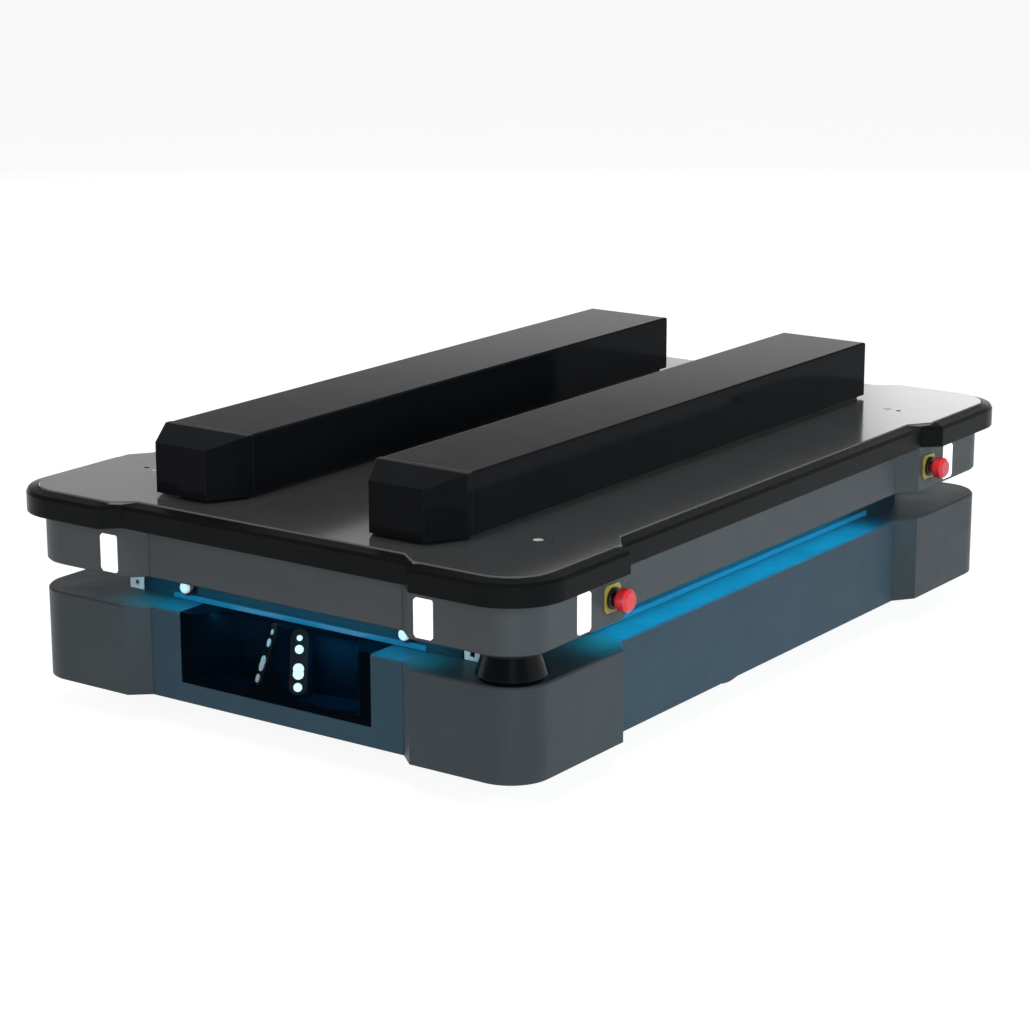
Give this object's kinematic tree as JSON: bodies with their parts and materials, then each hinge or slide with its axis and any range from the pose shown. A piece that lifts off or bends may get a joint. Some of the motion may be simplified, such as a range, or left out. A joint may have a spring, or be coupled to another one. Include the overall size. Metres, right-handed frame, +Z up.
{
  "type": "autonomous mobile robot",
  "caption": "Low flat autonomous mobile robot with stepped grey covers, light slot, camera niche and two rising pallet lift bars",
  "frame": {"origin": "on the floor under the middle of the robot", "axes": "+Z up, -Y the driving direction (camera end), +X the robot's own left side"},
  "size_m": [0.919, 1.35, 0.412],
  "materials": {
    "cover_grey": "slate grey moulded covers, fine satin texture",
    "rim_black": "black satin edge trim",
    "plate_black": "dark powder-coated steel plate, semi-gloss",
    "zinc": "bright zinc-plated insert",
    "slot_black": "black moulding lit by the light strips",
    "cyan_light": "light guide",
    "bracket_metal": "bead-blasted aluminium bracket",
    "scanner_black": "infrared-transparent black window",
    "frame_steel": "black painted steel weldment",
    "battery_case": "battery housing",
    "sheet_steel": "zinc-plated pressed steel",
    "electronics_case": "anodised finned case",
    "motor_metal": "painted gear case and motor",
    "hub_metal": "machined aluminium hub",
    "tread": "black polyurethane tread",
    "caster_tread": "grey polyurethane tread on a plastic hub",
    "lift_black": "black powder-coated sheet steel, satin",
    "rod_steel": "hard-chromed rod",
    "jack_metal": "painted jack tube",
    "signal_white": "lit signal window",
    "stop_yellow": "yellow back plate",
    "black_plastic": "black collar",
    "stop_red": "red emergency-stop cap",
    "button_white": "white button face",
    "niche_gloss": "gloss black lining",
    "camera_black": "black camera front",
    "lens_glass": "bright lens window"
  },
  "bodies": {
    "chassis": {"battery": "battery_case", "battery_tray": "sheet_steel", "camera_lenses": "lens_glass", "camera_niche": "niche_gloss", "camera_wedge": "niche_gloss", "caster_mounts": "sheet_steel", "chassis_deck": "frame_steel", "depth_cameras": "camera_black", "drive_motors": "motor_metal", "edge_trim": "rim_black", "electronics": "electronics_case", "gap_wall": "slot_black", "lift_bases": "frame_steel", "lift_jacks": "jack_metal", "light_strips": "cyan_light", "lower_corner_front_left": "cover_grey", "lower_corner_front_right": "cover_grey", "lower_corner_rear_left": "cover_grey", "lower_corner_rear_right": "cover_grey", "lower_front_cover": "cover_grey", "lower_left_cover": "cover_grey", "lower_rear_cover": "cover_grey", "lower_right_cover": "cover_grey", "plate_inserts": "zinc", "release_bezels": "black_plastic", "scanner_front": "scanner_black", "scanner_rear": "scanner_black", "signal_lights": "signal_white", "slot_brackets": "bracket_metal", "stop_collars": "black_plastic", "stop_plates": "stop_yellow", "top_frame": "frame_steel", "top_plate": "plate_black", "upper_corner_covers": "cover_grey", "upper_end_panels": "cover_grey", "upper_side_panels": "cover_grey"},
    "lift_left": {"lift_cover_left": "lift_black", "lift_nose_left": "lift_black", "lift_rods_left": "rod_steel"},
    "drive_left": {"drive_hub_left": "hub_metal", "drive_tyre_left": "tread"},
    "release_left": {"release_button_left": "button_white"},
    "lift_right": {"lift_cover_right": "lift_black", "lift_nose_right": "lift_black", "lift_rods_right": "rod_steel"},
    "drive_right": {"drive_hub_right": "hub_metal", "drive_tyre_right": "tread"},
    "release_right": {"release_button_right": "button_white"},
    "caster_swivel_front_left": {"caster_fork_front_left": "sheet_steel"},
    "caster_roll_front_left": {"caster_wheel_front_left": "caster_tread"},
    "stop_front_left": {"stop_cap_front_left": "stop_red"},
    "caster_swivel_front_right": {"caster_fork_front_right": "sheet_steel"},
    "caster_roll_front_right": {"caster_wheel_front_right": "caster_tread"},
    "stop_front_right": {"stop_cap_front_right": "stop_red"},
    "caster_swivel_rear_left": {"caster_fork_rear_left": "sheet_steel"},
    "caster_roll_rear_left": {"caster_wheel_rear_left": "caster_tread"},
    "stop_rear_left": {"stop_cap_rear_left": "stop_red"},
    "caster_swivel_rear_right": {"caster_fork_rear_right": "sheet_steel"},
    "caster_roll_rear_right": {"caster_wheel_rear_right": "caster_tread"},
    "stop_rear_right": {"stop_cap_rear_right": "stop_red"}
  },
  "joints": [
    {"name": "lift_left_rise", "type": "slide", "parent": "chassis", "child": "lift_left", "axis": [0, 0, 1], "range_m": [0, 0.06]},
    {"name": "lift_right_rise", "type": "slide", "parent": "chassis", "child": "lift_right", "axis": [0, 0, 1], "range_m": [0, 0.06]},
    {"name": "drive_left_spin", "type": "hinge", "parent": "chassis", "child": "drive_left", "pos_m": [0.321, 0, 0.1], "axis": [1, 0, 0], "continuous": true},
    {"name": "drive_right_spin", "type": "hinge", "parent": "chassis", "child": "drive_right", "pos_m": [-0.321, 0, 0.1], "axis": [1, 0, 0], "continuous": true},
    {"name": "caster_front_left_swivel", "type": "hinge", "parent": "chassis", "child": "caster_swivel_front_left", "pos_m": [0.3, -0.525, 0.135], "axis": [0, 0, 1], "continuous": true},
    {"name": "caster_front_left_spin", "type": "hinge", "parent": "caster_swivel_front_left", "child": "caster_roll_front_left", "pos_m": [0.3, -0.487, 0.0625], "axis": [1, 0, 0], "continuous": true},
    {"name": "caster_front_right_swivel", "type": "hinge", "parent": "chassis", "child": "caster_swivel_front_right", "pos_m": [-0.3, -0.525, 0.135], "axis": [0, 0, 1], "continuous": true},
    {"name": "caster_front_right_spin", "type": "hinge", "parent": "caster_swivel_front_right", "child": "caster_roll_front_right", "pos_m": [-0.3, -0.487, 0.0625], "axis": [1, 0, 0], "continuous": true},
    {"name": "caster_rear_left_swivel", "type": "hinge", "parent": "chassis", "child": "caster_swivel_rear_left", "pos_m": [0.3, 0.525, 0.135], "axis": [0, 0, 1], "continuous": true},
    {"name": "caster_rear_left_spin", "type": "hinge", "parent": "caster_swivel_rear_left", "child": "caster_roll_rear_left", "pos_m": [0.3, 0.563, 0.0625], "axis": [1, 0, 0], "continuous": true},
    {"name": "caster_rear_right_swivel", "type": "hinge", "parent": "chassis", "child": "caster_swivel_rear_right", "pos_m": [-0.3, 0.525, 0.135], "axis": [0, 0, 1], "continuous": true},
    {"name": "caster_rear_right_spin", "type": "hinge", "parent": "caster_swivel_rear_right", "child": "caster_roll_rear_right", "pos_m": [-0.3, 0.563, 0.0625], "axis": [1, 0, 0], "continuous": true},
    {"name": "stop_front_left_press", "type": "slide", "parent": "chassis", "child": "stop_front_left", "axis": [-1, 0, 0], "range_m": [0, 0.004], "stiffness_N_per_m": 2000},
    {"name": "stop_front_right_press", "type": "slide", "parent": "chassis", "child": "stop_front_right", "axis": [1, 0, 0], "range_m": [0, 0.004], "stiffness_N_per_m": 2000},
    {"name": "stop_rear_left_press", "type": "slide", "parent": "chassis", "child": "stop_rear_left", "axis": [-1, 0, 0], "range_m": [0, 0.004], "stiffness_N_per_m": 2000},
    {"name": "stop_rear_right_press", "type": "slide", "parent": "chassis", "child": "stop_rear_right", "axis": [1, 0, 0], "range_m": [0, 0.004], "stiffness_N_per_m": 2000},
    {"name": "release_left_press", "type": "slide", "parent": "chassis", "child": "release_left", "axis": [0, 1, 0], "range_m": [0, 0.003], "stiffness_N_per_m": 1000},
    {"name": "release_right_press", "type": "slide", "parent": "chassis", "child": "release_right", "axis": [0, 1, 0], "range_m": [0, 0.003], "stiffness_N_per_m": 1000}
  ],
  "couplings": [
    {"joint": "lift_right_rise", "follows": "lift_left_rise", "ratio": 1}
  ]
}
